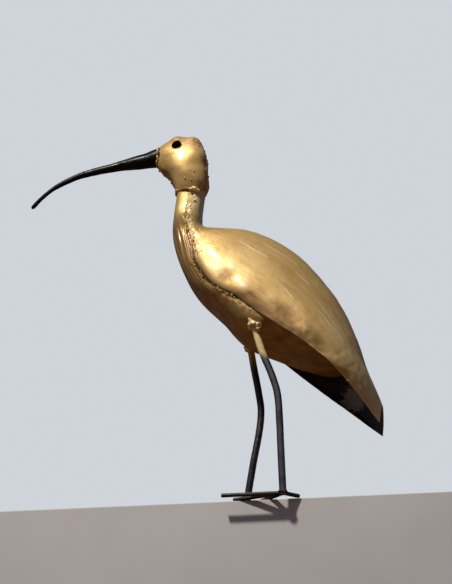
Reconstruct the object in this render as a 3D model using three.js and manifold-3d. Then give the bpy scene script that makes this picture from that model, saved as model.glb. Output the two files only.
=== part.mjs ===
// Standing ibis figure of welded sheet metal on two bent bar legs.
// Millimetres, +Z up, bill towards -X, the bird's left side towards -Y.
import * as THREE from 'three';
import Module from 'manifold-3d';
import { mergeVertices } from 'three/addons/utils/BufferGeometryUtils.js';

const wasm = await Module();
wasm.setup();

const SHEET = 1.2;
const GAP = 0.4;
const RIDGE_SHARPNESS = 0.12;
const LEG_RADIUS = 5;
const TOE_RADIUS = 2.9;
const TOE_FLAT = 2.3;
const GROUND = -2;

// Egg-shaped eye holes: centre x and z, length, height, tilt in degrees.
const EYE = { x: -43, z: 556, length: 13.5, height: 10.4, tilt: 18, taper: 0.18 };

// Body rows from the neck to the tail, all but the last figure in the median
// plane: back x, back z, seam x, seam z, half width at the seam.
const BODY = [
  [-3, 430, -24, 417, 21],
  [27.6, 425.6, -16, 384, 29.5],
  [61, 420, -9.3, 353.8, 39],
  [98.6, 402.5, 13.7, 318.3, 49.5],
  [138.3, 371.3, 47.1, 292.4, 63],
  [171.1, 330, 81.1, 259.3, 78],
  [197, 286.5, 114.6, 230.8, 89.5],
  [215.2, 241.5, 149.3, 202, 95.5],
  [229.2, 194.3, 181, 173.5, 92],
  [241.4, 159, 212.3, 140.5, 69],
  [250, 134, 246.3, 100.7, 28],
];
const TAIL = BODY.length - 1;

// Underside line of the breast and belly for the same rows: x, z.
const KEEL = [
  [-51, 425],
  [-45.7, 394],
  [-34.3, 357],
  [-13.5, 318],
  [20.3, 280.7],
  [54.8, 243.7],
  [109.6, 227.3],
  [168, 211.5],
  [228, 203],
];
const BELLY_START = 0.02;
const BELLY_END = 7.3;
const BELLY_STEPS = 24;
const BELLY_SIDES = 18;

// Where the belly edge meets the inside of the back sheet: row, degrees up
// from the lower edge. Up to row 4.2 the two sheets butt at the seam.
const CLIMB = [
  [0, 0],
  [4.3, 0],
  [5, 2],
  [5.9, 2.5],
  [6.2, 4.5],
  [6.56, 10.6],
  [6.81, 15],
  [7.06, 21.8],
  [7.3, 33],
];
const INSET = [
  [0, 0],
  [3.5, 0],
  [4.1, SHEET + 3 * GAP],
  [5, 3.2],
  [5.9, 3.4],
  [7.3, 5.2],
];

// Neck and head rows from the top down: front x, back x, z, half width.
const HEAD = [
  [-38, -38, 579.6, 0],
  [-60.3, -12, 573.1, 21],
  [-73.2, -6.5, 560.1, 28],
  [-75.1, 0, 544, 31.5],
  [-71.1, 1, 527, 31],
  [-56.8, 2.3, 512, 27.5],
  [-49.2, 2.3, 498, 23],
  [-44.9, -3.1, 487, 20],
];
const NECK = [
  [-44.9, -3.1, 486.6, 20],
  [-47.8, -6.2, 464, 19.5],
  [-49.8, -7.6, 445, 20],
];

// Bill from inside the head to the tip: x, z, radius.
const BILL = [
  [-62, 551, 16.5],
  [-77, 549.4, 14.3],
  [-90, 546.8, 12.1],
  [-106, 544.3, 10.8],
  [-124, 541.8, 8.6],
  [-145, 538.3, 6.7],
  [-170, 533.8, 5.8],
  [-195, 527.8, 4.7],
  [-218, 518.2, 4.1],
  [-236, 507.8, 3.2],
  [-252, 494, 3],
  [-262, 482.8, 3.1],
  [-265.4, 479, 2.2],
];

// Leg centre lines from inside the body to the ground: x, y, z.
const LEGS = {
  left: [
    [71, -61, 257],
    [76.2, -60, 242],
    [87.2, -58, 203],
    [99.6, -56, 170],
    [107.6, -53.5, 140],
    [109.8, -50, 100],
    [110.8, -47, 57],
    [112.4, -42, GROUND],
  ],
  right: [
    [52, 59, 279],
    [54.7, 58, 266],
    [61.3, 55.5, 225],
    [68.1, 52.5, 186],
    [71.8, 50.5, 155],
    [68.6, 48.5, 120],
    [60.5, 45.5, 74],
    [48.7, 42, GROUND],
  ],
};

// Lumps of weld at the leg tops: centre, then half sizes along x, y and z.
const WELDS = {
  left: [78, -62, 243, 10.5, 9, 6.5],
  right: [56, 59.5, 259, 9, 8, 7],
};

// Toes of each foot: heading in degrees from straight ahead towards the
// right side, and reach from the leg axis.
const FEET = {
  left: [[0, 85], [17, 74], [43, 61], [140, 26]],
  right: [[14, 85], [-5, 84], [-32, 68], [205, 26]],
};

function spline(rows, t) {
  const last = rows.length - 1;
  const i = Math.min(Math.max(Math.floor(t), 0), last - 1);
  const k = t - i;
  const p0 = rows[Math.max(i - 1, 0)];
  const p1 = rows[i];
  const p2 = rows[i + 1];
  const p3 = rows[Math.min(i + 2, last)];
  return p1.map((v, n) => {
    const m1 = (p2[n] - p0[n]) / 2;
    const m2 = (p3[n] - p1[n]) / 2;
    const a = 2 * v - 2 * p2[n] + m1 + m2;
    const b = -3 * v + 3 * p2[n] - 2 * m1 - m2;
    return ((a * k + b) * k + m1) * k + v;
  });
}

function interpolate(table, t) {
  const n = table.findIndex(([at]) => at > t);
  if (n < 0) return table[table.length - 1][1];
  const [t0, v0] = table[Math.max(n - 1, 0)];
  const [t1, v1] = table[n];
  return n === 0 ? v0 : v0 + ((v1 - v0) * (t - t0)) / (t1 - t0);
}

// Back sheet at a row, angle 0 at the left lower edge to PI at the right one.
function backPoint(t, angle) {
  const [bx, bz, sx, sz, half] = spline(BODY, t);
  const c = Math.cos(angle);
  const rise = (1 - RIDGE_SHARPNESS) * Math.sin(angle) + RIDGE_SHARPNESS * (1 - Math.abs(c));
  return new THREE.Vector3(sx + (bx - sx) * rise, -half * c, sz + (bz - sz) * rise);
}

// Belly sheet at a row, angle 0 at its left edge to PI at its right edge.
function bellyPoint(t, angle) {
  const [bx, bz, sx, sz] = spline(BODY, t);
  const edge = backPoint(t, THREE.MathUtils.degToRad(interpolate(CLIMB, t)));
  const drop = t < CLIMB[1][0] ? GAP : 0;
  const dorsal = new THREE.Vector3(bx - sx, 0, bz - sz).normalize();
  edge.addScaledVector(dorsal, -drop);
  const y = edge.y + interpolate(INSET, t);
  const [kx, kz] = spline(KEEL, t);
  const k = Math.sin(angle);
  return new THREE.Vector3(edge.x + (kx - edge.x) * k, y * Math.cos(angle), edge.z + (kz - edge.z) * k);
}

// Oval ring of the head or neck at a row, angle 0 at the back.
function ovalPoint(rows, t, angle, grow = 0) {
  const [front, back, z, half] = spline(rows, t);
  const reach = (back - front) / 2 + grow;
  return new THREE.Vector3(
    (front + back) / 2 + reach * Math.cos(angle),
    (half + grow) * Math.sin(angle),
    z,
  );
}

function geometryOf(points, faces) {
  const geometry = new THREE.BufferGeometry();
  const flat = points.flatMap((p) => [p.x, p.y, p.z]);
  geometry.setAttribute('position', new THREE.Float32BufferAttribute(flat, 3));
  const normal = new THREE.Vector3();
  let volume = 0;
  for (const [a, b, c] of faces) {
    volume += normal.crossVectors(points[b], points[c]).dot(points[a]);
  }
  geometry.setIndex(faces.flatMap(([a, b, c]) => (volume > 0 ? [a, b, c] : [a, c, b])));
  return geometry;
}

// Solid through closed rings of points, with a flat fan at both ends.
function loft(rings) {
  const count = rings[0].length;
  const points = rings.flat();
  const faces = [];
  for (let i = 0; i + 1 < rings.length; i += 1) {
    for (let j = 0; j < count; j += 1) {
      const a = i * count + j;
      const b = i * count + ((j + 1) % count);
      faces.push([a, b, b + count], [a, b + count, a + count]);
    }
  }
  for (const ring of [0, rings.length - 1]) {
    const centre = new THREE.Vector3();
    rings[ring].forEach((p) => centre.addScaledVector(p, 1 / count));
    const hub = points.push(centre) - 1;
    for (let j = 0; j < count; j += 1) {
      const a = ring * count + j;
      const b = ring * count + ((j + 1) % count);
      faces.push(ring === 0 ? [hub, b, a] : [hub, a, b]);
    }
  }
  return geometryOf(points, faces);
}

// Rows of points on surface(u, v), u and v from 0 to 1, moved out by proud.
function skin(surface, nu, nv, closed, proud) {
  const step = 1e-3;
  const rows = [];
  for (let i = 0; i <= nu; i += 1) {
    const row = [];
    for (let j = 0; j < (closed ? nv : nv + 1); j += 1) {
      const u = i / nu;
      const v = j / nv;
      const du = surface(Math.min(u + step, 1), v).sub(surface(Math.max(u - step, 0), v));
      const low = closed ? v - step : Math.max(v - step, 0);
      const high = closed ? v + step : Math.min(v + step, 1);
      const dv = surface(u, high).sub(surface(u, low));
      row.push(surface(u, v).addScaledVector(du.cross(dv).normalize(), proud));
    }
    rows.push(row);
  }
  return rows;
}

// Sheet metal below surface(u, v), closed along v or open.
function sheet(surface, nu, nv, closed) {
  const outer = skin(surface, nu, nv, closed, 0).flat();
  const inner = skin(surface, nu, nv, closed, -SHEET).flat();
  const columns = closed ? nv : nv + 1;
  const total = outer.length;
  const at = (i, j) => i * columns + (j % columns);
  const faces = [];
  for (let i = 0; i < nu; i += 1) {
    for (let j = 0; j < nv; j += 1) {
      const [a, b, c, d] = [at(i, j), at(i, j + 1), at(i + 1, j + 1), at(i + 1, j)];
      faces.push([a, b, c], [a, c, d]);
      faces.push([a + total, c + total, b + total], [a + total, d + total, c + total]);
    }
  }
  const border = [];
  for (let j = 0; j < nv; j += 1) {
    border.push([at(0, j + 1), at(0, j)], [at(nu, j), at(nu, j + 1)]);
  }
  for (let i = 0; i < nu && !closed; i += 1) {
    border.push([at(i, 0), at(i + 1, 0)], [at(i + 1, nv), at(i, nv)]);
  }
  for (const [a, b] of border) {
    faces.push([a, b, b + total], [a, b + total, a + total]);
  }
  return geometryOf([...outer, ...inner], faces);
}

function solid(geometry) {
  const bare = geometry.clone();
  bare.deleteAttribute('normal');
  bare.deleteAttribute('uv');
  const merged = mergeVertices(bare, 1e-4);
  const mesh = new wasm.Mesh({
    numProp: 3,
    vertProperties: new Float32Array(merged.attributes.position.array),
    triVerts: new Uint32Array(merged.index.array),
  });
  return new wasm.Manifold(mesh);
}

function fromSolid(body) {
  const mesh = body.getMesh();
  const geometry = new THREE.BufferGeometry();
  const positions = new Float32Array(mesh.vertProperties);
  geometry.setAttribute('position', new THREE.BufferAttribute(positions, 3));
  geometry.setIndex(new THREE.BufferAttribute(new Uint32Array(mesh.triVerts), 1));
  return geometry;
}

// Rings of a round bar along a path; flat cuts the underside of a toe.
function barRings(path, radii, sides, flat = Infinity) {
  return path.map((p, i) => {
    const before = path[Math.max(i - 1, 0)];
    const after = path[Math.min(i + 1, path.length - 1)];
    const along = after.clone().sub(before).normalize();
    const reference = new THREE.Vector3(0, Math.abs(along.z) > 0.8 ? 1 : 0, Math.abs(along.z) > 0.8 ? 0 : 1);
    const side = new THREE.Vector3().crossVectors(along, reference).normalize();
    const up = new THREE.Vector3().crossVectors(side, along).normalize();
    return Array.from({ length: sides }, (_, j) => {
      const angle = ((j + 0.5) / sides) * 2 * Math.PI;
      const height = Math.max(Math.sin(angle) * radii[i], -flat);
      return p.clone().addScaledVector(side, Math.cos(angle) * radii[i]).addScaledVector(up, height);
    });
  });
}

const backSurface = (u, v) => backPoint(BELLY_START + (TAIL - BELLY_START) * u, v * Math.PI);
const bodyRow = (u) => BELLY_START + (BELLY_END - BELLY_START) * u;
const bellySurface = (u, v) => bellyPoint(bodyRow(u), (1 - v) * Math.PI);

// Block on the belly's own facets, proud of them by the gap, for trimming.
function bellyBlock() {
  const rows = skin(bellySurface, BELLY_STEPS, BELLY_SIDES, false, GAP);
  const rings = rows.slice(11, 22).map((row, n) => {
    const [bx, bz, sx, sz] = spline(BODY, bodyRow((n + 11) / BELLY_STEPS));
    const dorsal = new THREE.Vector3(bx - sx, 0, bz - sz).setLength(25);
    const [right, left] = [row[0], row[row.length - 1]];
    const roof = [1, 0.75, 0.5, 0.25, 0].map((k) => right.clone().lerp(left, k).add(dorsal));
    return [...row, ...roof];
  });
  return solid(loft(rings));
}

const largest = (body) => body.decompose().sort((a, b) => b.volume() - a.volume())[0];

function headSkin(grow) {
  const rings = [];
  const rows = HEAD.length - 1;
  for (let i = 1; i <= 15; i += 1) {
    const ring = Array.from({ length: 24 }, (_, j) => ovalPoint(HEAD, (i / 15) * rows, (j / 12) * Math.PI, grow));
    if (grow < 0) ring.forEach((p) => { p.z += i === 15 ? -1 : grow * (1 - i / 15); });
    rings.push(ring);
  }
  return solid(loft(rings));
}

function head() {
  const tilt = THREE.MathUtils.degToRad(EYE.tilt);
  const cutter = [-60, 60].map((y) => Array.from({ length: 20 }, (_, j) => {
    const angle = (j / 10) * Math.PI;
    const a = (Math.cos(angle) * EYE.length) / 2;
    const b = (Math.sin(angle) * (1 + EYE.taper * Math.cos(angle)) * EYE.height) / 2;
    const x = EYE.x + a * Math.cos(tilt) - b * Math.sin(tilt);
    return new THREE.Vector3(x, y, EYE.z + a * Math.sin(tilt) + b * Math.cos(tilt));
  }));
  return fromSolid(headSkin(0).subtract(headSkin(-SHEET)).subtract(solid(loft(cutter))));
}

function bill() {
  const steps = 22;
  const rows = Array.from({ length: steps + 1 }, (_, i) => spline(BILL, (i / steps) * (BILL.length - 1)));
  const path = rows.map(([x, z]) => new THREE.Vector3(x, 0, z));
  const bar = solid(loft(barRings(path, rows.map((row) => row[2]), 14)));
  return fromSolid(bar.subtract(headSkin(GAP)));
}

// The neck runs from the ring under the head to the first body row.
function neck() {
  const last = NECK.length - 1;
  const surface = (u, v) => {
    const angle = v * 2 * Math.PI;
    const t = u * (last + 1);
    const above = ovalPoint(NECK, Math.min(t, last), angle);
    if (t <= last) return above;
    const foot = Math.cos(angle) > 0
      ? backPoint(0, Math.PI / 2 + angle)
      : bellyPoint(0, 1.5 * Math.PI - angle);
    return above.lerp(foot, t - last);
  };
  return sheet(surface, 9, 24, true);
}

function weld([x, y, z, a, b, c]) {
  const rings = [];
  for (let i = 1; i < 8; i += 1) {
    const polar = (i / 8) * Math.PI;
    rings.push(Array.from({ length: 12 }, (_, j) => {
      const angle = (j / 6) * Math.PI;
      const lump = 1 + 0.12 * Math.sin(3 * angle + 2 * polar);
      const r = Math.sin(polar) * lump;
      return new THREE.Vector3(x + a * r * Math.cos(angle), y + b * r * Math.sin(angle), z + c * Math.cos(polar));
    }));
  }
  return solid(loft(rings));
}

function leg(rows, lump) {
  const steps = 24;
  const path = Array.from({ length: steps + 1 }, (_, i) => (
    new THREE.Vector3(...spline(rows, (i / steps) * (rows.length - 1)))
  ));
  const rings = barRings(path, path.map(() => LEG_RADIUS), 10);
  rings[steps].forEach((p) => { p.z = GROUND; });
  const [x, y, z, a, b, c] = lump;
  const clear = weld([x, y, z, a + GAP, b + GAP, c + GAP]);
  return fromSolid(largest(solid(loft(rings)).subtract(bellyBlock()).subtract(clear)));
}

function toe([x, y], [heading, reach], grow) {
  const turn = THREE.MathUtils.degToRad(heading);
  const direction = new THREE.Vector3(-Math.cos(turn), Math.sin(turn), 0);
  const base = new THREE.Vector3(x, y, GROUND + TOE_FLAT);
  const start = base.clone().addScaledVector(direction, LEG_RADIUS + 3 * GAP);
  const end = base.clone().addScaledVector(direction, reach);
  const radius = TOE_RADIUS + grow;
  return solid(loft(barRings([start, end], [radius, radius], 12, TOE_FLAT + grow)));
}

const gold = { color: 0xc8a468, roughness: 0.36, metalness: 0.85 };
const black = { color: 0x1e1b1d, roughness: 0.5, metalness: 0.3 };
const group = new THREE.Group();

function add(name, geometry, look) {
  const mesh = new THREE.Mesh(geometry, new THREE.MeshStandardMaterial({ name, ...look }));
  mesh.name = name;
  group.add(mesh);
}

add('bill', bill(), black);
add('head', head(), gold);
add('neck', neck(), gold);
add('back_shell', sheet(backSurface, 28, 20, false), gold);
add('belly_shell', sheet(bellySurface, BELLY_STEPS, BELLY_SIDES, false), gold);
for (const side of ['left', 'right']) {
  const rows = LEGS[side];
  add(`weld_${side}`, fromSolid(largest(weld(WELDS[side]).subtract(bellyBlock()))), gold);
  add(`leg_${side}`, leg(rows, WELDS[side]), black);
  const foot = rows[rows.length - 1];
  FEET[side].forEach((figures, n) => {
    const others = FEET[side].slice(0, n).map((other) => toe(foot, other, GAP));
    const bar = others.reduce((body, other) => body.subtract(other), toe(foot, figures, 0));
    add(`toe_${side}_${n + 1}`, fromSolid(bar), black);
  });
}

// The frame's origin is the middle of the box on the ground.
const box = new THREE.Box3().setFromObject(group);
const middle = box.getCenter(new THREE.Vector3());
group.children.forEach((mesh) => mesh.geometry.translate(-middle.x, -middle.y, -box.min.z));

export default group;
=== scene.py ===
import math
import bmesh
import bpy
import numpy as np
from mathutils import Matrix, Vector, noise


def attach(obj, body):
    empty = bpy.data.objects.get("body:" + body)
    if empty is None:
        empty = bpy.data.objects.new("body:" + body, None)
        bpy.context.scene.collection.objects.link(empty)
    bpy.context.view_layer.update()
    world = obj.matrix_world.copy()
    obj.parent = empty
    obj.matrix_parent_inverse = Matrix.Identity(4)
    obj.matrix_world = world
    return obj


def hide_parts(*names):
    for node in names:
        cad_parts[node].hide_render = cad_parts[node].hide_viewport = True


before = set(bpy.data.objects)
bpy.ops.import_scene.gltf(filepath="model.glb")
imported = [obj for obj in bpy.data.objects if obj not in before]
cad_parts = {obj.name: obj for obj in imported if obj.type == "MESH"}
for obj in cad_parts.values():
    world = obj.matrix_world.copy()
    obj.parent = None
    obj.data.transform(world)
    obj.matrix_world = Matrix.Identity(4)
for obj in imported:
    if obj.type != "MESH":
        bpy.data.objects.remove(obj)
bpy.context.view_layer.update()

print("frame loaded:", len(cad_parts), "nodes")

# Everything is drawn in millimetres with the bill towards -X, then moved by
# this much and scaled into the frame. The belly's front edge lies seamDrop
# below the back sheet's.
figure = {"shiftX": 8.519, "shiftZ": 2.0, "sheet": 1.2, "ridge": 0.12, "seamDrop": 0.4}

bodyRows = np.array([  # back x, back z, seam x, seam z, half width
    [-3, 430, -24, 417, 21], [27.6, 425.6, -16, 384, 29.5], [61, 420, -9.3, 353.8, 39],
    [98.6, 402.5, 13.7, 318.3, 49.5], [138.3, 371.3, 47.1, 292.4, 63], [171.1, 330, 81.1, 259.3, 78],
    [197, 286.5, 114.6, 230.8, 89.5], [215.2, 241.5, 149.3, 202, 95.5], [229.2, 194.3, 181, 173.5, 92],
    [241.4, 159, 212.3, 140.5, 69], [250, 134, 246.3, 100.7, 28]])
keelRows = np.array([
    [-51, 425], [-45.7, 394], [-34.3, 357], [-13.5, 318], [20.3, 280.7], [54.8, 243.7],
    [109.6, 227.3], [168, 211.5], [228, 203]])
neckRows = np.array([[-44.9, -3.1, 486.6, 18.5], [-47.8, -6.2, 464, 19.8], [-49.8, -7.6, 445, 22]])
headRows = np.array([  # front x, back x, z, half width
    [-38, -38, 577.8, 0], [-60.3, -13.4, 573.6, 17.6], [-73.2, -5.4, 560.4, 21.8], [-75.1, 0.6, 544, 26.4],
    [-71.1, 1.6, 527, 29.0], [-56.8, 2.3, 512, 30.2], [-49.2, 2.3, 498, 27.4], [-44.9, -3.1, 485, 22]])
# body rows with how far the belly's edge climbs the back sheet there, in
# degrees, and how far it lies inside it
climbRows = ([0, 4.3, 5, 5.9, 6.2, 6.56, 6.81, 7.06, 7.3], [0, 0, 2, 2.5, 4.5, 10.6, 15, 21.8, 33])
insetRows = ([0, 3.5, 4.1, 5, 5.9, 7.3], [0, 0, 2.4, 3.2, 3.4, 5.2])


def spline(rows, t):
    # smooth curve through the rows, t counts them
    t = np.atleast_1d(np.asarray(t, float))
    last = len(rows) - 1
    i = np.clip(np.floor(t).astype(int), 0, last - 1)
    k = (t - i).reshape((-1,) + (1,) * (rows.ndim - 1))
    p0, p1, p2, p3 = rows[np.maximum(i - 1, 0)], rows[i], rows[i + 1], rows[np.minimum(i + 2, last)]
    m1, m2 = (p2 - p0) / 2, (p3 - p1) / 2
    return ((2 * (p1 - p2) + m1 + m2) * k + 3 * (p2 - p1) - 2 * m1 - m2) * k * k + m1 * k + p1


def smooth(x, low, high):
    k = np.clip((x - low) / (high - low), 0, 1)
    return k * k * (3 - 2 * k)


def between(x, start, full, fade=None, end=None):
    # rises from start to full, and falls again from fade to end
    rise = smooth(x, start, full)
    return rise if fade is None else rise * (1 - smooth(x, fade, end))


def bell(x, width):
    return np.exp(-(x / width) ** 2)


def circle(count):
    return np.linspace(0, 2 * math.pi, count, endpoint=False)


def stripe(rows, edge, amount, inset, width, span):
    # a soft band along the side seam, inset from it, over a span of rows
    return amount * between(rows, *span) * bell(edge - inset, width)


def backRing(row, angle):
    backX, backZ, seamX, seamZ, half = row
    rise = (1 - figure["ridge"]) * np.sin(angle) + figure["ridge"] * (1 - np.abs(np.cos(angle)))
    x = seamX + (backX - seamX) * rise
    return np.stack([x, -half * np.cos(angle), seamZ + (backZ - seamZ) * rise], -1)


def ovalRing(row, angle):
    front, rear, z, half = row
    x = (front + rear) / 2 + (rear - front) / 2 * np.cos(angle)
    return np.stack([x, half * np.sin(angle), z + 0 * angle], -1)


def bellyRing(t, angle):
    row = spline(bodyRows, t)[0]
    edge = backRing(row, np.radians(np.interp(t, *climbRows)))
    dorsal = np.array([row[0] - row[2], 0, row[1] - row[3]])
    if t < climbRows[0][1]:
        edge = edge - figure["seamDrop"] * dorsal / np.linalg.norm(dorsal)
    keelX, keelZ = spline(keelRows, t)[0]
    side = (edge[1] + np.interp(t, *insetRows)) * np.cos(angle)
    k = np.sin(angle)
    return np.stack([edge[0] + (keelX - edge[0]) * k, side, edge[2] + (keelZ - edge[2]) * k], -1)


def backSurface(t, angle):
    # row -3 is the top of the neck, row 0 the shoulders, row 10 the tail
    rings = [ovalRing(row, angle - math.pi / 2) for row in neckRows]
    rings += [backRing(row, angle) for row in bodyRows]
    return spline(np.array(rings), np.asarray(t) + len(neckRows))


def bellySurface(t, angle):
    # one spline from the neck to the first body row, then a ring for each row
    rings = [ovalRing(row, 1.5 * math.pi - angle) for row in neckRows]
    rings += [bellyRing(n, angle) for n in range(4)]
    upper = spline(np.array(rings), t[t < 1] + len(neckRows))
    return np.concatenate([upper, np.array([bellyRing(n, angle) for n in t[t >= 1]])])


def headSurface(t, angle):
    rows = spline(headRows, t)
    reach = (rows[:, 1] - rows[:, 0]) / 2
    crown = t < 1
    top, first = headRows[0], headRows[1]
    rows[crown, 2] = top[2] - (top[2] - first[2]) * (reach[crown] / ((first[1] - first[0]) / 2)) ** 2
    points = np.stack([ovalRing(row, angle) for row in rows])
    # the sides lie further back than the middle of front and nape
    amount = head["sidesBack"] * between(t, *head["sidesRows"])[:, None]
    points[..., 0] += amount * np.sin(angle) ** 2
    return points


def steps(spans):
    # uneven row spacing: (from, to, count) spans joined
    return np.concatenate([np.linspace(a, b, n, endpoint=False) for a, b, n in spans] + [[spans[-1][1]]])


def lumps(points, size, offset):
    where = points.reshape(-1, 3) / size + offset
    return np.array([noise.noise(Vector(p)) for p in where]).reshape(points.shape[:-1])


def normalsOf(points):
    n = np.cross(np.gradient(points, axis=0), np.gradient(points, axis=1))
    n /= np.linalg.norm(n, axis=-1, keepdims=True) + 1e-9
    middle = points.mean(axis=1, keepdims=True)
    return n * np.sign(np.mean(np.sum((points - middle) * n, axis=-1)))


def dent(points, centre, along, reach, width, depth):
    # soft hollow, or swelling when depth is negative, drawn out along one way
    away = points - np.array(centre, float)
    along = np.array(along, float) / np.linalg.norm(along)
    run = away @ along
    cross = np.linalg.norm(away - run[..., None] * along, axis=-1)
    return -depth * np.exp(-(run / reach) ** 2 - (cross / width) ** 2)


def hammered(points, marks, offset=0):
    # the sheet's unevenness: size and height of each kind of mark
    return sum(lumps(points, size, size + offset) * height for size, height in marks)


def lumpy(points, marks):
    # size, place in the noise and height of each kind of lump
    return sum(lumps(points, size, place) * height for size, place, height in marks)


def edgeDistance(points):
    # how far each point lies from the nearer side edge of its row
    run = np.cumsum(np.linalg.norm(np.diff(points, axis=1), axis=-1), axis=1)
    run = np.concatenate([np.zeros((len(points), 1)), run], axis=1)
    return np.minimum(run, run[:, -1:] - run)


def toFrame(points):
    return (np.asarray(points, float) + [figure["shiftX"], 0, figure["shiftZ"]]) * 0.001


def linked(name, mesh):
    piece = bpy.data.objects.new(name, mesh)
    bpy.context.scene.collection.objects.link(piece)
    return piece


def gridPiece(name, points, closed=False, spread=None, **masks):
    rows, columns = points.shape[:2]
    index = np.arange(rows * columns).reshape(rows, columns)
    right = np.roll(index, -1, axis=1) if closed else index[:, 1:]
    left = index if closed else index[:, :-1]
    faces = np.stack([left[:-1], right[:-1], right[1:], left[1:]], -1).reshape(-1, 4)
    mid = rows // 2
    a, b, c = points[mid, 0], points[mid, 1], points[mid + 1, 0]
    outward = a - points[mid].mean(axis=0)
    if np.dot(np.cross(b - a, c - a), outward) < 0:
        faces = faces[:, ::-1]
    mesh = bpy.data.meshes.new(name)
    mesh.from_pydata(toFrame(points.reshape(-1, 3)).tolist(), [], faces.tolist())
    mesh.shade_smooth()
    for mask, values in masks.items():
        layer = mesh.attributes.new(mask, "FLOAT", "POINT")
        layer.data.foreach_set("value", np.clip(values, 0, 1).ravel().astype(np.float32))
    if spread is not None:
        uv = mesh.uv_layers.new(name="spread")
        corner = np.zeros(len(mesh.loops), np.int32)
        mesh.loops.foreach_get("vertex_index", corner)
        uv.data.foreach_set("uv", spread.reshape(-1, 2)[corner].astype(np.float32).ravel())
    return linked(name, mesh)


def settle(piece):
    # turn modifiers into a plain mesh
    graph = bpy.context.evaluated_depsgraph_get()
    made = bpy.data.meshes.new_from_object(
        piece.evaluated_get(graph), preserve_all_data_layers=True, depsgraph=graph)
    made.name = piece.name
    old = piece.data
    piece.modifiers.clear()
    piece.data = made
    bpy.data.meshes.remove(old)
    return piece


def thicken(piece):
    # give the sheet its thickness, with the second paint inside
    wall = piece.modifiers.new("wall", "SOLIDIFY")
    wall.thickness = figure["sheet"] * 0.001
    wall.offset = -1
    wall.material_offset = 1
    wall.material_offset_rim = 0
    return settle(piece)


def closeMesh(mesh, extra=None):
    # faces pointing outwards, after whatever extra adds to the mesh
    build = bmesh.new()
    build.from_mesh(mesh)
    if extra:
        extra(build)
    bmesh.ops.recalc_face_normals(build, faces=build.faces)
    build.to_mesh(mesh)
    build.free()


def put(tree, kind, settings=None, inputs=None):
    # a node with its settings, and with its inputs linked or set
    made = tree.nodes.new(kind)
    for key, value in (settings or {}).items():
        setattr(made, key, value)
    for key, value in (inputs or {}).items():
        if isinstance(value, bpy.types.NodeSocket):
            tree.links.new(value, made.inputs[key])
        else:
            made.inputs[key].default_value = value
    return made


def newGroup(name, kind, inputs, outputs):
    # an input is given by the number it starts from, or else by its kind
    tree = bpy.data.node_groups.new(name, kind)
    for label, value in inputs.items():
        socketKind = {float: "Float", int: "Int"}.get(type(value), value)
        socket = tree.interface.new_socket(
            name=label, in_out="INPUT", socket_type="NodeSocket" + socketKind)
        if socketKind != value:
            socket.default_value = value
    for label, socketKind in outputs.items():
        tree.interface.new_socket(name=label, in_out="OUTPUT", socket_type="NodeSocket" + socketKind)
    return tree, tree.nodes.new("NodeGroupInput").outputs, tree.nodes.new("NodeGroupOutput").inputs


def maths(tree, operation, *values, clamp=False):
    settings = {"operation": operation, "use_clamp": clamp}
    return put(tree, "ShaderNodeMath", settings, dict(enumerate(values))).outputs[0]


def vectorMaths(tree, operation, *values, result=0):
    made = put(tree, "ShaderNodeVectorMath", {"operation": operation}, dict(enumerate(values)))
    return made.outputs[result]


def scaled(tree, vector, amount):
    return put(tree, "ShaderNodeVectorMath", {"operation": "SCALE"}, {0: vector, 3: amount}).outputs[0]


def mixColour(tree, factor, a, b):
    return put(tree, "ShaderNodeMix", {"data_type": "RGBA"}, {0: factor, 6: a, 7: b}).outputs[2]


def mixValue(tree, factor, a, b):
    return put(tree, "ShaderNodeMix", None, {0: factor, 2: a, 3: b}).outputs[0]


def ramp(tree, factor, low, high):
    # 0 below low, 1 above high, smooth between
    made = put(tree, "ShaderNodeMapRange", {"interpolation_type": "SMOOTHSTEP"}, {0: factor, 1: low, 2: high})
    return made.outputs[0]


def noiseAt(tree, vector, scale, detail, roughness):
    return put(tree, "ShaderNodeTexNoise", None, {
        "Vector": vector, "Scale": scale, "Detail": detail, "Roughness": roughness}).outputs[0]


def makeMottle():
    # cloudy tone and fine orange peel of sprayed paint
    tree, given, out = newGroup(
        "paintMottle", "ShaderNodeTree", {"Vector": "Vector", "Scale": 14.0, "Peel Scale": 420.0},
        {"Tone": "Float", "Peel": "Float"})
    cloud = noiseAt(tree, given["Vector"], given["Scale"], 5.0, 0.6)
    tree.links.new(ramp(tree, cloud, 0.3, 0.72), out["Tone"])
    tree.links.new(noiseAt(tree, given["Vector"], given["Peel Scale"], 2.0, 0.5), out["Peel"])
    return tree


def makeStreaks():
    # fine rub lines that run along the sheet
    tree, given, out = newGroup(
        "rubStreaks", "ShaderNodeTree", {"Vector": "Vector", "Along": 9.0, "Across": 260.0},
        {"Streak": "Float"})
    scale = put(tree, "ShaderNodeCombineXYZ", None, {
        0: given["Along"], 1: given["Across"], 2: given["Across"]}).outputs[0]
    drawnOut = vectorMaths(tree, "MULTIPLY", given["Vector"], scale)
    tree.links.new(noiseAt(tree, drawnOut, 1.0, 4.0, 0.65), out["Streak"])
    return tree


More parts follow.
